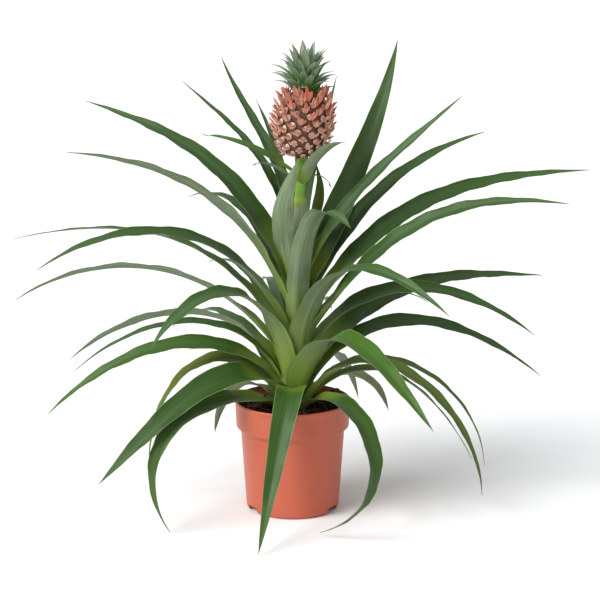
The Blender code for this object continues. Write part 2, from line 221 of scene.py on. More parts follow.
class Graph:
    """One material's nodes."""

    def __init__(self, name, **constants):
        self.material = bpy.data.materials.new(name)
        self.material.use_nodes = True
        self.tree = self.material.node_tree
        self.shader = self.tree.nodes["Principled BSDF"]
        for socket, value in constants.items():
            self.shader.inputs[socket.replace("_", " ")].default_value = value

    def put(self, socket, value):
        if isinstance(value, Value):
            self.tree.links.new(value.socket, socket)
        elif isinstance(value, tuple) and socket.type == "RGBA":
            socket.default_value = (*value[:3], 1.0)
        else:
            socket.default_value = value

    def node(self, kind, settings=None, *values, output=0, **named):
        """A node of this kind, with its settings, then its sockets in order or by name."""
        made = self.tree.nodes.new("ShaderNode" + kind)
        for key, value in (settings or {}).items():
            setattr(made, key, value)
        for socket, value in zip(made.inputs, values):
            self.put(socket, value)
        for key, value in named.items():
            self.put(made.inputs[key.replace("_", " ")], value)
        return Value(self, made.outputs[output])

    def mix(self, share, first, second, blend="MIX"):
        """A colour between two colours."""
        made = self.tree.nodes.new("ShaderNodeMix")
        made.data_type = "RGBA"
        made.blend_type = blend
        for index, value in ((0, share), (6, first), (7, second)):
            self.put(made.inputs[index], value)
        return Value(self, made.outputs[2])

    def split(self, vector):
        parts = self.tree.nodes.new("ShaderNodeSeparateXYZ")
        self.put(parts.inputs[0], vector)
        return [Value(self, output) for output in parts.outputs]

    def vector(self, x, y, z):
        return self.node("CombineXYZ", None, x, y, z)

    def object_place(self):
        return self.node("TexCoord", None, output=3)

    def attribute(self, name):
        return self.node("Attribute", {"attribute_name": name}, output=2)

    def speckle(self, place, scale, detail=2.0, roughness=0.5):
        return self.node("TexNoise", None, Vector=place, Scale=scale, Detail=detail, Roughness=roughness)

    def finish(self, colour, roughness=None, height=None, depth=0.3 * MM, strength=1.0):
        self.put(self.shader.inputs["Base Color"], colour)
        if roughness is not None:
            self.put(self.shader.inputs["Roughness"], roughness)
        if height is not None:
            bump = self.node("Bump", None, Strength=strength, Distance=depth, Height=height)
            self.put(self.shader.inputs["Normal"], bump)
        return self.material


def leaf_coordinates(graph):
    """Across the blade from -1 to 1, its size without sign, and along the blade from foot to tip."""
    across, along, _ = graph.split(graph.node("UVMap", {"uv_map": "UVMap"}))
    signed = across * 2.0 - 1.0
    return signed, abs(signed), along


def upper_leaf():
    """The deep green, faintly streaked upper face, yellow-green at the foot and pale at the margins, with a
    painted sheen down its channel.
    """
    graph = Graph("leaf_upper", Roughness=0.4, Specular_IOR_Level=0.24)
    signed, edge, along = leaf_coordinates(graph)
    depth, yellowing = graph.attribute("green_depth"), graph.attribute("yellowing")
    # How strong the painted sheen on this leaf's upper face is: a reflection painted into its colour.
    painted_sheen = graph.attribute("painted_sheen")
    chance = graph.attribute("chance") * 19.0
    streaks = graph.speckle(graph.vector(signed * 9.0 + chance, along * 2.5, chance), 1.0, 4.0, 0.6)
    hairs = graph.speckle(graph.vector(signed * 30.0, along * 5.0, chance), 1.0, 3.0, 0.6)
    clouds = graph.speckle(graph.vector(signed * 0.8, along * 7.0, chance), 1.0, 3.0)
    fresh = graph.mix(yellowing, (0.052, 0.150, 0.008), (0.26, 0.28, 0.020))
    deep = graph.mix(yellowing, (0.0200, 0.050, 0.0040), (0.090, 0.105, 0.010))
    colour = graph.mix(depth, fresh, deep)
    colour = graph.mix(streaks.over(0.42, 0.72) * 0.50, colour, (0.062, 0.140, 0.026))
    colour = graph.mix(clouds.over(0.45, 0.75) * 0.30, colour, (0.030, 0.092, 0.028))
    # The painted sheen also strengthens the pale hair streaks.
    colour = graph.mix(hairs.over(0.52, 0.78) * (0.25 + painted_sheen * 0.4), colour, (0.135, 0.200, 0.095))
    # Painted sheen: a pale grey-green painted down the middle of the channel as a reflection of the bright
    # surroundings.
    channel = edge.over(0.75, 0.10) * along.over(0.10, 0.35)
    colour = graph.mix(channel * painted_sheen * 0.75, colour, (0.110, 0.170, 0.115))
    colour = graph.mix(along.over(0.22, 0.10) * 0.95, colour, (0.23, 0.34, 0.028))
    colour = graph.mix(along.over(0.62, 0.97) * 0.35, colour, (0.100, 0.180, 0.060))
    colour = graph.mix(edge.over(0.93, 0.99) * 0.6, colour, (0.26, 0.34, 0.16))
    colour = graph.mix(along.over(0.972, 0.995) * 0.8, colour, (0.15, 0.10, 0.045))
    ribs = (signed * 62.0).sine() * 0.35 + streaks + hairs
    return graph.finish(colour, streaks.over(0.2, 0.9) * 0.16 + 0.29, ribs, 0.16 * MM, 0.6)


def under_leaf():
    """The grey-green underside with its fine pale scurf, running in lines down the blade."""
    graph = Graph("leaf_underside", Roughness=0.55, Specular_IOR_Level=0.35)
    signed, edge, along = leaf_coordinates(graph)
    depth, yellowing = graph.attribute("green_depth"), graph.attribute("yellowing")
    chance = graph.attribute("chance") * 23.0
    lines = graph.speckle(graph.vector(signed * 14.0, along * 2.4, chance), 1.0, 4.0, 0.65)
    fine = graph.speckle(graph.vector(signed * 42.0, along * 7.0, chance + 3.0), 1.0, 3.0, 0.6)
    dust = graph.speckle(graph.vector(signed * 45.0, along * 160.0, chance), 1.0, 2.0)
    clouds = graph.speckle(graph.vector(signed * 1.2, along * 6.0, chance), 1.0, 3.0)
    specks = graph.speckle(graph.vector(signed * 12.0, along * 55.0, chance + 9.0), 1.0, 2.0)
    green = graph.mix(yellowing, (0.110, 0.172, 0.066), (0.24, 0.27, 0.045))
    green = graph.mix(depth * 0.45, green, (0.070, 0.112, 0.045))
    colour = graph.mix(clouds.over(0.35, 0.7), green, (0.140, 0.195, 0.100))
    colour = graph.mix(lines.over(0.42, 0.66) * 0.75, colour, (0.275, 0.335, 0.215))
    colour = graph.mix(fine.over(0.48, 0.66) * 0.60, colour, (0.050, 0.085, 0.030))
    colour = graph.mix(dust.over(0.50, 0.70) * 0.25, colour, (0.36, 0.42, 0.31))
    spine = edge.over(0.10, 0.02) * along.over(0.9, 0.6)
    colour = graph.mix(spine * 0.45, colour, (0.060, 0.100, 0.036))
    colour = graph.mix(specks.over(0.74, 0.80) * 0.5, colour, (0.14, 0.10, 0.05))
    colour = graph.mix(along.over(0.30, 0.06) * 0.85, colour, (0.240, 0.345, 0.045))
    colour = graph.mix(edge.over(0.94, 0.99) * 0.55, colour, (0.060, 0.095, 0.030))
    colour = graph.mix(along.over(0.972, 0.995) * 0.8, colour, (0.15, 0.10, 0.045))
    ribs = (signed * 75.0).sine() * 0.3 + lines + fine
    return graph.finish(colour, lines.over(0.2, 0.8) * 0.14 + 0.46, ribs, 0.2 * MM, 0.7)


def crown_leaf():
    """The crown's small blades: silvery grey-green with darker margins, fresh green at the foot."""
    graph = Graph("crown_blade", Roughness=0.5, Specular_IOR_Level=0.3)
    signed, edge, along = leaf_coordinates(graph)
    depth = graph.attribute("green_depth")
    lines = graph.speckle(graph.vector(signed * 7.0, along * 2.0, depth * 9.0), 1.0, 3.0, 0.6)
    colour = graph.mix(depth, (0.240, 0.315, 0.190), (0.130, 0.195, 0.095))
    colour = graph.mix(lines.over(0.35, 0.70) * 0.70, colour, (0.46, 0.55, 0.42))
    colour = graph.mix(along.over(0.45, 0.10) * 0.85, colour, (0.12, 0.30, 0.035))
    colour = graph.mix(edge.over(0.72, 0.97) * 0.65, colour, (0.032, 0.062, 0.022))
    colour = graph.mix(along.over(0.88, 0.99) * 0.7, colour, (0.06, 0.07, 0.035))
    return graph.finish(colour, lines.over(0.2, 0.9) * 0.15 + 0.42, lines, 0.15 * MM, 0.5)


def fruit_skin():
    """Fruitlets: coral bracts with pale feet and singed tips over a blushing cream eye, its foot darkened
    with painted shade.
    """
    graph = Graph("fruit_skin", Roughness=0.5, Specular_IOR_Level=0.35)
    height = graph.split(graph.object_place())[2]
    low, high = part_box("fruit")
    rise = height.over(low.z, high.z)
    tip, chance, kind = graph.attribute("tip"), graph.attribute("chance"), graph.attribute("bract")
    grain = graph.speckle(graph.object_place(), 650.0, 3.0, 0.6)
    patch = graph.speckle(graph.object_place(), 210.0, 3.0, 0.6)
    blush = graph.mix(rise, (0.60, 0.32, 0.22), (0.54, 0.17, 0.10))
    eye = graph.mix(chance.over(0.30, 0.80) * 0.85, (0.74, 0.54, 0.41), blush)
    # Painted shade: the foot of each eye, where it sinks into the cleft, is painted near black.
    eye = graph.mix(tip.over(0.22, 0.0) * 0.9, eye, (0.10, 0.032, 0.018))
    coral = graph.mix(chance, (0.70, 0.190, 0.100), (0.66, 0.330, 0.240))
    pale = graph.mix(rise.over(0.2, 0.95), (0.76, 0.58, 0.46), (0.64, 0.27, 0.17))
    bract = graph.mix(tip.over(0.0, 0.55), pale, coral)
    bract = graph.mix((chance * 9.0).sine().over(0.1, 0.9) * (1 - rise) * 0.8, bract, (0.56, 0.43, 0.34))
    singed = tip.over(0.62, 1.0) * (1.25 - rise)
    bract = graph.mix(singed, bract, (0.115, 0.045, 0.025))
    colour = graph.mix(kind, eye, bract)
    colour = graph.mix(patch.over(0.52, 0.70) * 0.50, colour, (0.20, 0.060, 0.030))
    colour = graph.mix(grain.over(0.52, 0.75) * 0.40, colour, (0.12, 0.045, 0.025))
    colour = graph.mix(rise.over(0.13, 0.0) * 0.6, colour, (0.17, 0.11, 0.035))
    return graph.finish(colour, grain * 0.25 + 0.36, grain, 0.25 * MM, 0.5)


def painted_cleft_shade():
    """The fruit's body, seen only in the clefts between the fruitlets: dark brown, with the clefts' shade
    painted in.
    """
    graph = Graph("fruit_painted_cleft_shade", Roughness=0.7)
    grain = graph.speckle(graph.object_place(), 400.0, 3.0)
    return graph.finish(graph.mix(grain, (0.05, 0.016, 0.010), (0.17, 0.065, 0.034)))


def stalk_skin():
    """The flower stalk: fresh green and yellow-green at its joint, speckled and pale below it."""
    graph = Graph("stalk_skin", Roughness=0.42, Specular_IOR_Level=0.4)
    place = graph.object_place()
    height = graph.split(place)[2]
    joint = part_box("flower_stalk")[0].z + STALK_JOINT
    grain = graph.speckle(place, 900.0, 3.0, 0.6)
    fibres = graph.speckle(graph.node("Mapping", None, Vector=place, Scale=(1, 1, 0.08)), 900.0, 3.0)
    colour = graph.mix(height.over(joint - 8 * MM, joint + 3 * MM), (0.36, 0.43, 0.27), (0.19, 0.40, 0.03))
    ring = abs(height - joint).over(6 * MM, 2 * MM)
    colour = graph.mix(ring * 0.8, colour, (0.36, 0.48, 0.04))
    colour = graph.mix(grain.over(0.55, 0.68) * 0.45, colour, (0.55, 0.55, 0.32))
    colour = graph.mix(fibres.over(0.5, 0.8) * 0.4, colour, (0.07, 0.15, 0.03))
    return graph.finish(colour, grain * 0.2 + 0.34, fibres, 0.2 * MM, 0.6)


def pot_plastic():
    """Injection-moulded terracotta plastic: satin, evenly coloured, with dust and faint flow marks."""
    graph = Graph("pot_plastic", Roughness=0.4, Specular_IOR_Level=0.4)
    place = graph.object_place()
    height = graph.split(place)[2]
    fine = graph.speckle(place, 1600.0, 2.0)
    flow = graph.speckle(graph.node("Mapping", None, Vector=place, Scale=(1, 1, 0.25)), 28.0, 4.0, 0.55)
    colour = graph.mix(flow.over(0.3, 0.75), (0.520, 0.112, 0.056), (0.460, 0.094, 0.046))
    dust = graph.speckle(place, 95.0, 5.0, 0.7).over(0.56, 0.74)
    low = height.over(26 * MM, 2 * MM)
    colour = graph.mix(dust * (low * 0.35 + 0.07), colour, (0.40, 0.24, 0.17))
    return graph.finish(colour, flow * 0.18 + dust * 0.15 + 0.30, fine, 0.05 * MM, 0.35)


def peat():
    """Moist dark peat with lighter crumbs and reddish coir."""
    graph = Graph("peat", Roughness=0.95, Specular_IOR_Level=0.15)
    place = graph.object_place()
    crumbs = graph.node("TexVoronoi", None, Vector=place, Scale=420.0)
    grain = graph.speckle(place, 260.0, 5.0, 0.7)
    colour = graph.mix(grain.over(0.35, 0.7), (0.010, 0.007, 0.005), (0.060, 0.036, 0.022))
    colour = graph.mix(grain.over(0.66, 0.74) * 0.6, colour, (0.20, 0.11, 0.06))
    return graph.finish(colour, None, grain - crumbs * 0.6, 0.8 * MM, 1.0)


def coir():
    graph = Graph("coir_fibre", Roughness=0.8, Specular_IOR_Level=0.2)
    shade = graph.attribute("chance")
    return graph.finish(graph.mix(shade, (0.07, 0.028, 0.014), (0.42, 0.26, 0.14)))


def dead_fibre():
    """Dry, dark red-brown leaf remains and bark."""
    graph = Graph("dead_fibre", Roughness=0.85, Specular_IOR_Level=0.2)
    place = graph.object_place()
    fibres = graph.speckle(graph.node("Mapping", None, Vector=place, Scale=(1, 1, 0.15)), 700.0, 4.0, 0.7)
    colour = graph.mix(fibres.over(0.3, 0.7), (0.035, 0.012, 0.008), (0.20, 0.085, 0.045))
    return graph.finish(colour, None, fibres, 0.5 * MM, 1.0)


def stem_sheath():
    """The pale leaf bases wrapped round the stem: straw and yellow-green, browned just above the soil."""
    graph = Graph("stem_sheath", Roughness=0.6, Specular_IOR_Level=0.3)
    place = graph.object_place()
    height = graph.split(place)[2]
    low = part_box("stem")[0].z
    stretched = graph.node("Mapping", None, Vector=place, Scale=(1, 1, 0.12))
    fibres = graph.speckle(stretched, 600.0, 4.0, 0.6)
    colour = graph.mix(fibres.over(0.3, 0.7), (0.20, 0.26, 0.06), (0.36, 0.42, 0.15))
    colour = graph.mix(height.over(low + 14 * MM, low + 4 * MM) * 0.7, colour, (0.16, 0.09, 0.045))
    return graph.finish(colour, None, fibres, 0.4 * MM, 0.8)


# ---------------------------------------------------------------- leaves


def smooth_through(values, places, wanted):
    """Values between stations, along a curve that passes through each of them."""
    values = np.asarray(values, float)
    slopes = np.gradient(values, places, axis=0)
    index = np.clip(np.searchsorted(places, wanted, side="right") - 1, 0, len(places) - 2)
    span = (places[index + 1] - places[index])[:, None]
    part = ((wanted - places[index]) / span[:, 0])[:, None]
    start, end = values[index], values[index + 1]
    return (
        start * (1 + 2 * part) * (1 - part) ** 2
        + slopes[index] * span * part * (1 - part) ** 2
        + end * part**2 * (3 - 2 * part)
        + slopes[index + 1] * span * part**2 * (part - 1)
    )


def leaf_rings(node):
    """The four corners of a CAD leaf at each station from foot to tip: margins, upper and under middle."""
    mesh = node.data
    corners, index = np.unique(np.round(points_of(node), 6), axis=0, return_inverse=True)
    index = index.reshape(-1)
    beside = [set() for _ in corners]
    for face in mesh.polygons:
        names = [int(index[vert]) for vert in face.vertices]
        for name in names:
            beside[name].update(names)
    found = []
    for start in range(len(corners)):
        levels, seen = [{start}], {start}
        while levels[-1]:
            after = set().union(*(beside[name] for name in levels[-1])) - seen
            seen |= after
            levels.append(after)
        levels.pop()
        if {len(level) for level in levels[1:]} == {4}:
            spreads = [np.ptp(corners[sorted(level)], axis=0).max() for level in levels]
            found.append((sum(spreads), start, levels))
    if not found:
        raise ValueError(f"{node.name} isn't a row of four-cornered sections")
    _, start, levels = min(found)
    rings, last = [], None
    for level in reversed(levels[1:]):
        section = corners[sorted(level)]
        pairs = [(a, b) for a in range(4) for b in range(a + 1, 4)]
        left, right = max(pairs, key=lambda pair: np.linalg.norm(section[pair[0]] - section[pair[1]]))
        top, under = sorted(
            set(range(4)) - {left, right},
            key=lambda name: np.linalg.norm(section[name] - (section[left] + section[right]) / 2),
        )
        if last is not None and np.dot(section[right] - section[left], last) < 0:
            left, right = right, left
        last = section[right] - section[left]
        rings.append(section[[left, top, right, under]])
    tip = corners[start]
    rings.append(np.array([tip, tip, tip, tip]))
    rings = np.array(rings)
    forward = rings[1, 1] - rings[0, 1]
    lift = (rings[0, 0] + rings[0, 2]) / 2 - rings[0, 1]
    if np.dot(np.cross(rings[0, 2] - rings[0, 0], forward), lift) < 0:
        rings = rings[:, [2, 1, 0, 3]]
    return rings


def shape_blade(name, rings, rows, columns, skin, seed, ripple=0.8 * MM, crease=0.55 * MM, keel=1.6):
    """A grid laid along the stations, channelled, creased, rippled at its margins and given its thickness."""
    bpy.ops.mesh.primitive_grid_add(x_subdivisions=columns, y_subdivisions=rows, size=1.0)
    blade = added(name)
    flat = points_of(blade)
    across, along = flat[:, 0] * 2, flat[:, 1] + 0.5
    steps = np.linalg.norm(np.diff(rings[:, 1], axis=0), axis=1)
    places = np.concatenate([[0.0], np.cumsum(steps)])
    length = places[-1]
    share = 1 - (1 - along) ** 1.15
    wanted = share * length
    left, middle, right = (smooth_through(rings[:, corner], places, wanted) for corner in range(3))
    ahead = smooth_through(rings[:, 1], places, np.minimum(wanted + 0.5 * MM, length))
    behind = smooth_through(rings[:, 1], places, np.maximum(wanted - 0.5 * MM, 0.0))
    forward = ahead - behind
    forward /= np.linalg.norm(forward, axis=1)[:, None] + 1e-12
    chord = (right - left) / 2
    width = np.linalg.norm(chord, axis=1)
    normal = np.cross(chord, forward)
    normal /= np.linalg.norm(normal, axis=1)[:, None] + 1e-12
    lift = (left + right) / 2 - middle
    spot = middle + chord * across[:, None] + lift * (np.abs(across) ** keel)[:, None]
    chance = random.Random(seed)
    fade = np.clip(width / (7 * MM), 0, 1) * np.clip(share / 0.15, 0, 1)
    wave = np.zeros(len(flat))
    for side in (-1, 1):
        pitch, phase = chance.uniform(34, 58) * MM, chance.uniform(0, math.tau)
        this = np.clip(across * side, 0, 1) ** 2
        wave += this * np.sin(wanted / pitch * math.tau + phase) * ripple
        wave += this * np.sin(wanted / pitch * 2.7 * math.tau + 2 * phase) * ripple * 0.3
    groove = np.exp(-((across / 0.12) ** 2)) * crease
    ribs = np.cos(across * math.pi * 3.0) * 0.10 * MM
    spot += normal * ((wave - groove + ribs) * fade)[:, None]
    move_points(blade, spot)
    for side in ("upper", "under"):
        blade.data.materials.append(None)
    group = blade.vertex_groups.new(name="body")
    full = (1 - np.abs(across) ** 2.5) * np.clip(width / (6 * MM), 0.25, 1)
    for level in range(9):
        chosen = np.flatnonzero(np.round(full * 8) == level)
        group.add([int(vert) for vert in chosen], level / 8, "REPLACE")
    skinned = blade.modifiers.new("skin", "SOLIDIFY")
    skinned.thickness = skin
    skinned.offset = -1.0
    skinned.vertex_group = "body"
    skinned.thickness_vertex_group = 0.22
    skinned.material_offset = 1
    skinned.material_offset_rim = 1
    apply_modifiers(blade)
    blade.vertex_groups.clear()
    return blade


def rooted(rings):
    """The same stations, led back by one more that runs into the stem, as a clasping leaf base does."""
    back = rings[0] - rings[1]
    back *= CLASP_LENGTH / np.linalg.norm(back[1])
    return np.concatenate([[rings[0] + back], rings])


def widen(rings, flare, shoulder):
    """The same stations with a broader foot, and broader towards the tip."""
    share = np.linspace(0, 1, len(rings))
    near = np.clip(1 - share / 0.55, 0, 1)
    factor = 1.07 + flare * near * near * (3 - 2 * near) + shoulder * share**3
    wider = rings.copy()
    for corner in (0, 2):
        wider[:, corner] = rings[:, 1] + (rings[:, corner] - rings[:, 1]) * factor[:, None]
    return wider


def make_leaves(upper, under):
    """Every leaf and bract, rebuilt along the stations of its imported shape."""
    names = sorted(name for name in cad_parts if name.startswith("leaf_"))
    for seed, name in enumerate(names, start=1):
        number = int(name.split("_")[1])
        rings = rooted(leaf_rings(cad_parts[name]))
        rings = widen(rings, FOOT_FLARE.get(number, PLAIN_FLARE), SHOULDER.get(number, 0.0))
        keel = KEEL.get(number, PLAIN_KEEL)
        leaf = shape_blade(f"{name}_blade", rings, LEAF_ROWS, LEAF_COLUMNS, LEAF_SKIN, seed, keel=keel)
        finish_leaf(leaf, name, "leaf", LEAF_LOOKS.get(number, PLAIN_LOOK), seed, upper, under)
    names = sorted(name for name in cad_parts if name.startswith("bract_"))
    for seed, name in enumerate(names, start=61):
        rings = widen(leaf_rings(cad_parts[name]), 0.1, 0.2)
        leaf = shape_blade(f"{name}_blade", rings, 36, 8, 0.8 * MM, seed, 0.3 * MM, 0.1 * MM)
        # The bracts' last look number is the strength of the painted sheen on their upper faces.
        finish_leaf(leaf, name, "bract", (0.35, 0.10, 0.3), seed, upper, under)


def finish_leaf(leaf, node, slot, look, seed, upper, under):
    # The third look is the strength of the painted sheen on the upper face.
    for value_name, value in zip(("green_depth", "yellowing", "painted_sheen"), look):
        give_value(leaf, value_name, value)
    give_value(leaf, "chance", random.Random(seed).random())
    put_on(leaf, [node], slot, upper, under)


# ---------------------------------------------------------------- crown and fruit


def lean_at(height):
    """Where the plant's leaning axis stands at this height, from the middles of its parts."""
    low, high = middle_of("stem"), middle_of("crown")
    part = (height - low.z) / (high.z - low.z)
    return Vector((low.x + (high.x - low.x) * part, 0.0, height))


def middle_of(node):
    low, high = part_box(node)
    return (low + high) / 2


def bezier_rings(points, side, width, bend, stations=9):
    """Stations of a small blade along a curve with three points, like those of a CAD leaf."""
    a, b, c = (Vector(point) for point in points)
    rings = []
    for step in range(stations):
        share = step / (stations - 1)
        spot = a * (1 - share) ** 2 + b * 2 * share * (1 - share) + c * share**2
        along = ((b - a) * (1 - share) + (c - b) * share).normalized()
        across = (side - along * side.dot(along)).normalized()
        normal = across.cross(along).normalized()
        half = 0.5 * width * (1 - share**1.9) * (0.86 + 0.5 * share)
        lift = normal * half * bend * (1 - 0.5 * share)
        rings.append([spot - across * half + lift, spot, spot + across * half + lift, spot - normal * MM])
    return np.array([[list(corner) for corner in ring] for ring in rings])


def make_crown(blade_skin):
    """A spiral of blades: the lowest lie out level, the middle ones arch and the inner ones stand."""
    low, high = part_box("crown")
    foot, top = low.z, high.z
    chance = random.Random(11)
    blades = []
    for index in range(CROWN_BLADES):
        part = index / (CROWN_BLADES - 1)
        turn = math.radians(CROWN_TURN * index + chance.uniform(-10, 10))
        out = Vector((math.cos(turn), math.sin(turn), 0))
        side = Vector((-math.sin(turn), math.cos(turn), 0))
        base = lean_at(foot + (0.5 + 19 * part) * MM) + out * (8.5 - 5.0 * part) * MM
        reach = (30 * math.cos(part * math.pi / 2) ** 0.6 + 4.0) * MM * chance.uniform(0.88, 1.10)
        reach *= 0.86 + 0.14 * min(1.0, part / 0.15)
        climb = (6 + 46 * part**0.85) * MM * chance.uniform(0.95, 1.05)
        foot_point = Vector((lean_at(foot).x, 0, foot))
        elbow = foot_point + out * reach * 0.52 + Vector((0, 0, climb * (1.13 - 0.35 * part)))
        tip = foot_point + out * reach * 1.06 + Vector((0, 0, climb))
        tip.z = min(tip.z, top + 3 * MM)
        width = (12.2 - 2.6 * part) * MM * chance.uniform(0.9, 1.1)
        rings = bezier_rings((base, elbow, tip), side, width, 0.38)
        blade = shape_blade(
            f"crown_blade_{index}", rings, 14, 6, 0.8 * MM, 900 + index, 0.12 * MM, 0.15 * MM
        )
        give_value(blade, "green_depth", chance.uniform(0, 1))
        blades.append(blade)
    bpy.ops.mesh.primitive_uv_sphere_add(
        segments=20, ring_count=12, radius=1.0, location=lean_at(foot + 9 * MM),
        scale=(9 * MM, 9 * MM, 10 * MM),
    )
    core = added("crown_core")
    bpy.ops.object.transform_apply(location=True, rotation=True, scale=True)
    give_value(core, "green_depth", 0.2)
    crown = join("crown_tuft", blades + [core])
    for face in crown.data.polygons:
        face.material_index = 0
    put_on(crown, ["crown"], "crown_leaf", blade_skin)


def eye_shape():
    """One fruitlet's eye: a low rounded boss about 1 across, rising along +Z."""
    bpy.ops.mesh.primitive_uv_sphere_add(segments=8, ring_count=6, radius=0.5)
    eye = added("eye")
    points = points_of(eye)
    points[:, 2] = np.clip(points[:, 2], -0.12, None) * 0.95
    move_points(eye, points)
    give_value(eye, "tip", np.clip(points[:, 2] / 0.45, 0, 1))
    give_value(eye, "bract", 0.0)
    return eye


def scale_shape():
    """One pointed scale, 1 long along +Y with its foot at the origin, cupped upward to +Z."""
    bpy.ops.mesh.primitive_grid_add(x_subdivisions=2, y_subdivisions=6, size=1.0)
    scale = added("scale")
    points = points_of(scale)
    across, along = points[:, 0] * 2, points[:, 1] + 0.5
    half = 0.24 * (1 - along**2.2) * (0.80 + 0.9 * along * (1 - along)) + 0.012
    points[:, 0] = across * half
    points[:, 1] = along * (1 - 0.10 * along)
    points[:, 2] = 0.55 * across**2 * half + 0.26 * along**2.2
    move_points(scale, points)
    give_value(scale, "tip", along)
    give_value(scale, "bract", 1.0)
    skin = scale.modifiers.new("skin", "SOLIDIFY")
    skin.thickness = 0.09
    apply_modifiers(scale)
    return scale


def grow_scale(template, root, skin_frame, lean, swing, proportions, length):
    """A scale standing at its root, leaning out of the fruit's skin and swung to one side."""
    side, up, normal = skin_frame
    width, cup = proportions
    ahead = (up * math.cos(lean) + normal * math.sin(lean) + side * swing).normalized()
    across = ahead.cross(normal).normalized()
    axes = Matrix((across, ahead, across.cross(ahead))).transposed().to_4x4()
    sizes = Matrix.Diagonal((length * width, length, length * cup, 1))
    return stamp(template, "scale", Matrix.Translation(root) @ axes @ sizes)


def fruit_radius(part):
    """The fruit's radius at a share of its height, as a share of its widest."""
    return math.sin(math.pi * (0.11 + 0.80 * part)) ** 0.45


def make_fruit(skin, cleft):
    """A barrel with its fruitlets in a spiral: each has an eye, a coral bract and withered sepals."""
    low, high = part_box("fruit")
    foot, top = low.z + 1.5 * MM, high.z - 2.5 * MM
    height = top - foot
    chance = random.Random(23)
    widest = (high.y - low.y) / 2 - 3.4 * MM
    bpy.ops.mesh.primitive_uv_sphere_add(segments=48, ring_count=32, radius=1.0)
    body = added("fruit_body")
    points = points_of(body)
    part = (points[:, 2] + 1) / 2
    around = np.hypot(points[:, 0], points[:, 1]) + 1e-9
    radius = widest * np.array([fruit_radius(value) for value in part]) - 1.2 * MM
    radius *= np.clip(around * 4.0, 0, 1)
    centres = np.array([list(lean_at(foot + value * height)) for value in part])
    ring = np.stack([points[:, 0] / around * radius, points[:, 1] / around * radius, 0 * part], 1)
    move_points(body, centres + ring)
    eye, scale = eye_shape(), scale_shape()
    pieces = []
    for index in range(FRUITLETS):
        part = 0.02 + 0.96 * (index + 0.5) / FRUITLETS
        turn = math.radians(FRUIT_TURN * index)
        radius = widest * fruit_radius(part)
        slope = (fruit_radius(part + 0.01) - fruit_radius(part - 0.01)) * widest / (0.02 * height)
        out = Vector((math.cos(turn), math.sin(turn), 0))
        side = Vector((-math.sin(turn), math.cos(turn), 0))
        normal = (out - Vector((0, 0, slope))).normalized()
        up = side.cross(normal)
        up = up if up.z > 0 else -up
        spot = lean_at(foot + part * height) + out * radius
        size = 8.4 * (0.60 + 0.40 * fruit_radius(part)) * MM
        luck = chance.random()

        skin_frame = (side, up, normal)
        axes = Matrix(skin_frame).transposed().to_4x4()
        swell = chance.uniform(0.66, 1.0)
        squash = chance.uniform(0.75, 1.0)
        sizes = Matrix.Diagonal((size * 0.95 * swell, size * squash, size * 0.66 * swell, 1))
        boss = stamp(eye, "eye", Matrix.Translation(spot) @ axes @ sizes)
        give_value(boss, "chance", luck)
        pieces.append(boss)
        high_up = max(0.0, part - 0.25) / 0.75
        flare = math.radians(20 + 26 * high_up + chance.uniform(-10, 10))
        length = (8.4 + 4.6 * high_up**0.8) * MM * chance.uniform(0.8, 1.25)
        swing = chance.uniform(-0.3, 0.3)
        root = spot - up * size * 0.34 + normal * size * 0.24
        bract = grow_scale(scale, root, skin_frame, flare, swing, (0.60, 0.9), length)
        give_value(bract, "chance", chance.random())
        pieces.append(bract)
        for twig in (-1.3, -0.4, 0.5, 1.3):
            lean = math.radians(34 + 10 * high_up + chance.uniform(-20, 20))
            length = (5.2 + 3.4 * high_up) * MM * chance.uniform(0.7, 1.25)
            root = spot + normal * size * 0.26 + side * size * 0.22 * twig - up * size * 0.12
            swing = twig * 0.45 + chance.uniform(-0.3, 0.3)
            sepal = grow_scale(scale, root, skin_frame, lean, swing, (0.74, 0.7), length)
            give_value(sepal, "chance", chance.random())
            pieces.append(sepal)
    discard(eye)
    discard(scale)
    put_on(join("fruitlets", pieces), [], "fruit_skin", skin)
    # The body shows only in the clefts, where its dark colour is painted shade.
    put_on(body, ["fruit"], "fruit_skin", cleft)


# ---------------------------------------------------------------- stalk, stem, soil and pot


def turned(name, outline, sides, centre=None):
    """A ring of points drawn up through each (radius, height) of an outline, closed at both ends."""
    (radius, height), *rest = outline
    bpy.ops.mesh.primitive_circle_add(
        vertices=sides, radius=radius, location=(0, 0, height), fill_type="NGON"
    )
    piece = added(name)
    bpy.ops.object.transform_apply(location=True)
    bpy.ops.object.mode_set(mode="EDIT")
    bpy.ops.mesh.select_mode(type="FACE")
    bpy.ops.mesh.select_all(action="SELECT")
    bpy.ops.mesh.flip_normals()
    before, level = radius, height
    for radius, height in rest:
        bpy.ops.mesh.extrude_region_move(TRANSFORM_OT_translate={"value": (0, 0, height - level)})
        factor = radius / before
        bpy.ops.transform.resize(value=(factor, factor, 1), center_override=(0, 0, height))
        before, level = radius, height
    bpy.ops.mesh.select_all(action="SELECT")
    bpy.ops.mesh.normals_make_consistent(inside=False)
    bpy.ops.object.mode_set(mode="OBJECT")
    if centre:
        points = points_of(piece)
        points[:, 0] += [centre(float(height)).x for height in points[:, 2]]
        move_points(piece, points)
    return piece


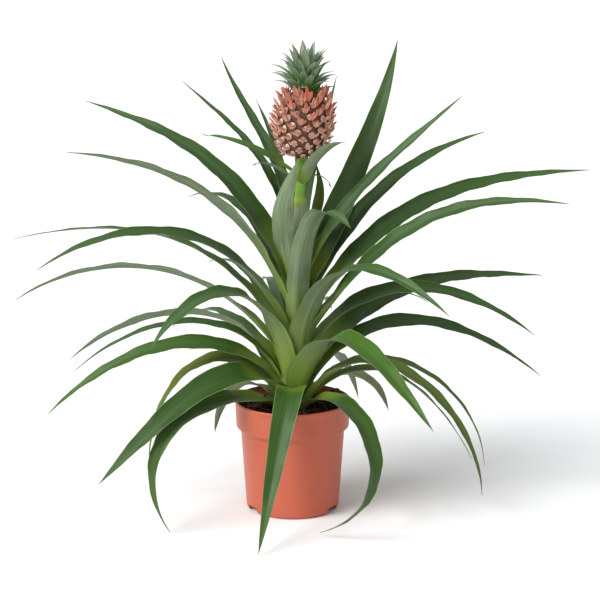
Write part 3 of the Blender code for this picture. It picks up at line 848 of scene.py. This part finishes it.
def make_stalk(skin):
    low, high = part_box("flower_stalk")
    radius = (high.y - low.y) / 2 - 1.6 * MM
    joint = low.z + STALK_JOINT
    outline = [(radius * 1.05, low.z)]
    for step in range(1, 40):
        height = low.z + (high.z - low.z) * step / 39
        bulge = 0.9 * MM * math.exp(-(((height - joint) / (3.2 * MM)) ** 2))
        lower = 0.5 * MM * math.exp(-(((height - joint + 24 * MM) / (2.5 * MM)) ** 2))
        crest = 1.6 * MM * max(0.0, (step - 34) / 5)
        outline.append((radius + bulge + lower + crest, height))
    stalk = turned("flower_stalk_skin", outline, 32, lean_at)
    points = points_of(stalk)
    for point in points:
        centre = lean_at(point[2])
        turn = math.atan2(point[1], point[0] - centre.x)
        grow = 1 + 0.035 * math.cos(7 * turn + point[2] * 60)
        point[0] = centre.x + (point[0] - centre.x) * grow
        point[1] *= grow
    move_points(stalk, points)
    put_on(stalk, ["flower_stalk"], "flower_stalk", skin)


def make_stem(sheath):
    low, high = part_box("stem")
    outline = []
    for step in range(60):
        part = step / 59
        height = low.z - 2 * MM + (high.z - low.z + 2 * MM) * part
        wide = 12.2 * MM if part < 0.12 else 12.2 * MM - 6.0 * MM * (part - 0.12) / 0.88
        outline.append((wide * (1 + 0.035 * math.sin(part * 150)), height))
    stem = turned("stem_bark", outline, 32, lean_at)
    put_on(stem, ["stem"], "stem_bark", sheath)


def make_soil(earth, fibre):
    """The root ball with its crumbly top, under loose crumbs and coir."""
    low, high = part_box("soil")
    top = high.z - 1.6 * MM
    rim = (high.x - low.x) / 2
    outline = [
        (rim * 0.73, low.z), (rim * 0.81, low.z + 2 * MM), (rim * 0.90, low.z + 60 * MM),
        (rim * 0.915, low.z + 78 * MM), (rim * 0.975, low.z + 88 * MM), (rim * 0.99, top - 1 * MM),
    ]
    outline += [(rim * (1 - step / 44), top) for step in range(1, 43)]
    soil = turned("soil_surface", outline, 128)
    points = points_of(soil)
    for point in points:
        reach = math.hypot(point[0], point[1])
        if point[2] < top - 0.2 * MM:
            continue
        spot = Vector(point)
        rough = noise.fractal(spot * 120, 0.9, 2.1, 5) * 1.5 * MM
        swell = noise.noise(spot * 34) * 2.0 * MM
        point[2] += (rough + swell) * min(1.0, (rim - reach) / (4 * MM)) + 0.6 * MM
    move_points(soil, points)
    put_on(soil, ["soil"], "potting_soil", earth)
    chance = random.Random(5)
    scatter_crumbs(chance, rim, top, earth)
    scatter_coir(chance, rim, top, fibre)


def scatter_crumbs(chance, rim, top, earth):
    bpy.ops.mesh.primitive_ico_sphere_add(subdivisions=1, radius=1.0)
    crumb = added("crumb")
    crumbs = []
    for _ in range(420):
        turn, reach = chance.uniform(0, math.tau), rim * math.sqrt(chance.uniform(0.06, 0.94))
        size = chance.choice((0.7, 0.9, 1.1, 1.5, 2.1)) * MM
        place = (reach * math.cos(turn), reach * math.sin(turn), top + size * 0.55 + 0.4 * MM)
        spin, tilt = chance.uniform(0, math.tau), Vector((chance.random(), chance.random(), 1))
        sizes = (size, size * chance.uniform(0.6, 1), size * chance.uniform(0.5, 0.9), 1)
        matrix = Matrix.Translation(place) @ Matrix.Rotation(spin, 4, tilt) @ Matrix.Diagonal(sizes)
        crumbs.append(stamp(crumb, "crumb", matrix))
    discard(crumb)
    put_on(join("soil_crumbs", crumbs), [], "potting_soil", earth)


def scatter_coir(chance, rim, top, fibre):
    """Thin bowed fibres, thickest at the front left."""
    strands = []
    bpy.ops.mesh.primitive_cylinder_add(vertices=5, radius=1.0, depth=1.0)
    strand = added("strand")
    bpy.ops.object.mode_set(mode="EDIT")
    bpy.ops.mesh.select_all(action="SELECT")
    bpy.ops.mesh.bisect(plane_co=(0, 0, 0), plane_no=(0, 0, 1))
    for level in (-0.3, -0.15, 0.15, 0.3):
        bpy.ops.mesh.select_all(action="SELECT")
        bpy.ops.mesh.bisect(plane_co=(0, 0, level), plane_no=(0, 0, 1))
    bpy.ops.object.mode_set(mode="OBJECT")
    for index in range(90):
        turn, reach = chance.uniform(0, math.tau), rim * math.sqrt(chance.uniform(0.08, 0.86))
        if index < 30:
            turn, reach = chance.gauss(3.5, 0.28), rim * chance.uniform(0.45, 0.85)
        copy = stamp(strand, "strand", Matrix.Identity(4))
        points = points_of(copy)
        long, thick = chance.uniform(5, 15) * MM, chance.uniform(0.10, 0.22) * MM
        arch = chance.uniform(0.6, 2.6) * MM
        bow = chance.uniform(-2.5, 2.5) * MM
        shaped = np.stack([
            points[:, 2] * long,
            points[:, 1] * thick + bow * (1 - 4 * points[:, 2] ** 2),
            points[:, 0] * thick + arch * (1 - 4 * points[:, 2] ** 2),
        ], 1)
        spin = chance.uniform(0, math.tau)
        twist = np.array(Matrix.Rotation(spin, 3, "Z"))
        shaped = shaped @ twist.T + [reach * math.cos(turn), reach * math.sin(turn), top + 1.0 * MM]
        outside = np.hypot(shaped[:, 0], shaped[:, 1]).max() / (rim * 0.97)
        if outside > 1:
            shaped[:, :2] /= outside
        move_points(copy, shaped)
        give_value(copy, "chance", chance.random() ** 1.6)
        strands.append(copy)
    discard(strand)
    put_on(join("coir_strands", strands), [], "dead_fibre", fibre)


def pot_outline(rim, top):
    """The pot's section as (radius, height): along the underside, up the outside and back down inside."""
    outline = [(0.4 * MM, 0.0), (12 * MM, 0.0), (30 * MM, 0.0)]
    for index in range(7):
        turn = math.radians(-90 + 85 * index / 6)
        radius = POT_FOOT - FOOT_ROUND + FOOT_ROUND * math.cos(turn)
        outline.append((radius, FOOT_ROUND + FOOT_ROUND * math.sin(turn)))
    for index in range(1, 8):
        part = index / 8
        outline.append((POT_FOOT + (POT_STEP - POT_FOOT) * part, 3.2 * MM + (top - 36.4 * MM) * part))
    outline += [
        (POT_STEP, top - 32.6 * MM), (POT_STEP + 0.15 * MM, top - 32.0 * MM),
        (POT_STEP + 0.7 * MM, top - 31.5 * MM), (POT_COLLAR - 0.9 * MM, top - 28.3 * MM),
        (POT_COLLAR - 0.25 * MM, top - 27.7 * MM), (POT_COLLAR, top - 26.9 * MM),
    ]
    for index in range(1, 6):
        part = index / 6
        radius = POT_COLLAR + (rim - 0.5 * MM - POT_COLLAR) * part
        outline.append((radius, top - 26.9 * MM + 23.4 * MM * part))
    outline += [
        (rim - 0.45 * MM, top - 3.3 * MM), (rim - 0.1 * MM, top - 2.9 * MM), (rim, top - 2.4 * MM),
        (rim, top - 0.8 * MM), (rim - 0.25 * MM, top - 0.2 * MM), (rim - 0.8 * MM, top),
        (rim - 1.4 * MM, top - 0.1 * MM), (rim - 1.8 * MM, top - 0.6 * MM),
        (POT_COLLAR - POT_WALL, top - 26.5 * MM), (POT_STEP - POT_WALL, top - 31.5 * MM),
        (POT_FOOT - POT_WALL, 5 * MM), (POT_FOOT - POT_WALL - 1.2 * MM, 2.2 * MM),
        (POT_FOOT - POT_WALL - 3.5 * MM, POT_WALL), (20 * MM, POT_WALL), (0.4 * MM, POT_WALL),
    ]
    return outline


def pot_cutters():
    """Rounded blocks for the three drain slots at the foot, and bores for the holes in the floor."""
    cutters = []
    for turn in (90, 210, 330):
        angle = math.radians(turn)
        bpy.ops.mesh.primitive_cube_add(
            size=1.0, location=(POT_FOOT * math.cos(angle), POT_FOOT * math.sin(angle), 0),
            rotation=(0, 0, angle), scale=(14 * MM, 18 * MM, 12 * MM),
        )
        block = added("slot_block")
        bpy.ops.object.transform_apply(location=True, rotation=True, scale=True)
        rounding = block.modifiers.new("rounding", "BEVEL")
        rounding.width = 2.2 * MM
        rounding.segments = 4
        apply_modifiers(block)
        cutters.append(block)
        angle += math.radians(60)
        bpy.ops.mesh.primitive_cylinder_add(
            vertices=32, radius=4 * MM, depth=8 * MM,
            location=(DRAIN_CIRCLE * math.cos(angle), DRAIN_CIRCLE * math.sin(angle), 0),
        )
        bore = added("drain_bore")
        bpy.ops.object.transform_apply(location=True)
        cutters.append(bore)
    return cutters


def make_pot(plastic):
    """The moulded pot: rounded foot, straight taper, step, collar and rolled lip, with its drain slots."""
    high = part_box("pot")[1]
    pot = turned("pot_shell", pot_outline(high.x, high.z), 144)
    for cutter in pot_cutters():
        cut = pot.modifiers.new("cut", "BOOLEAN")
        cut.operation = "DIFFERENCE"
        cut.object = cutter
        apply_modifiers(pot)
        discard(cutter)
    put_on(pot, ["pot"], "pot_plastic", plastic)


def make_litter(bark):
    """The fibrous stub of an old leaf, and the lump of bark, roughened from round shapes."""
    for node, grain in (("old_leaf_stub", 220), ("bark_lump", 160)):
        low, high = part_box(node)
        middle, size = (low + high) / 2, (high - low) / 2
        bpy.ops.mesh.primitive_ico_sphere_add(subdivisions=5, radius=1.0)
        lump = added(node + "_fibres")
        points = points_of(lump)
        if node == "old_leaf_stub":
            points[:, :2] *= 1.05 - 0.45 * points[:, 2:3]
            points[:, 0] += 0.3 * points[:, 2]
        for point in points:
            spot = Vector((point[0] * 2.2, point[1] * 2.2, point[2] * 1.2 + grain))
            point *= 1 + 0.22 * noise.fractal(spot, 0.9, 2.1, 5)
        move_points(lump, points * np.array(size) + np.array(middle))
        put_on(lump, [node], "dead_fibre", bark)


# ---------------------------------------------------------------- studio


def add_lamp(name, lamp, place):
    """A lamp at this place that shines on the middle of the plant."""
    obj = bpy.data.objects.new(name, lamp)
    obj.location = place
    aim = Vector((0, 0, 0.25)) - Vector(place)
    obj.rotation_euler = aim.to_track_quat("-Z", "Y").to_euler()
    bpy.context.scene.collection.objects.link(obj)


def make_studio():
    bpy.ops.mesh.primitive_plane_add(size=40.0, location=(0, 0, -0.0004))
    floor = added("studio_floor")
    paint = Graph("studio_floor", Roughness=0.9, Specular_IOR_Level=0.1)
    floor.data.materials.append(paint.finish((0.93, 0.93, 0.93)))
    world = bpy.data.worlds.new("studio")
    bpy.context.scene.world = world
    world.use_nodes = True
    world.node_tree.nodes["Background"].inputs[0].default_value = (0.97, 0.985, 1.0, 1.0)
    world.node_tree.nodes["Background"].inputs[1].default_value = 0.54
    sun = bpy.data.lights.new("softbox_sun", "SUN")
    sun.energy = 3.5
    sun.angle = math.radians(40)
    add_lamp("softbox_sun", sun, (-1.45, -0.95, 1.75))
    fill = bpy.data.lights.new("front_fill", "AREA")
    fill.size = 1.4
    fill.energy = 2.5
    add_lamp("front_fill", fill, (0.1, -2.4, 1.1))
    camera = bpy.data.cameras.new("camera")
    camera.lens = 132.3
    camera.sensor_width = 36.0
    camera.clip_end = 60.0
    holder = bpy.data.objects.new("camera", camera)
    holder.location = (0.0077, -2.2, 0.76)
    holder.rotation_euler = (math.radians(90 - 13.76), 0, 0)
    bpy.context.scene.collection.objects.link(holder)
    bpy.context.scene.camera = holder
    bpy.context.scene.view_settings.view_transform = "Standard"


def main():
    deselect()
    make_studio()
    upper, under = upper_leaf(), under_leaf()
    make_leaves(upper, under)
    make_crown(crown_leaf())
    make_fruit(fruit_skin(), painted_cleft_shade())
    make_stalk(stalk_skin())
    bark = dead_fibre()
    make_stem(stem_sheath())
    make_soil(peat(), coir())
    make_litter(bark)
    make_pot(pot_plastic())


main()
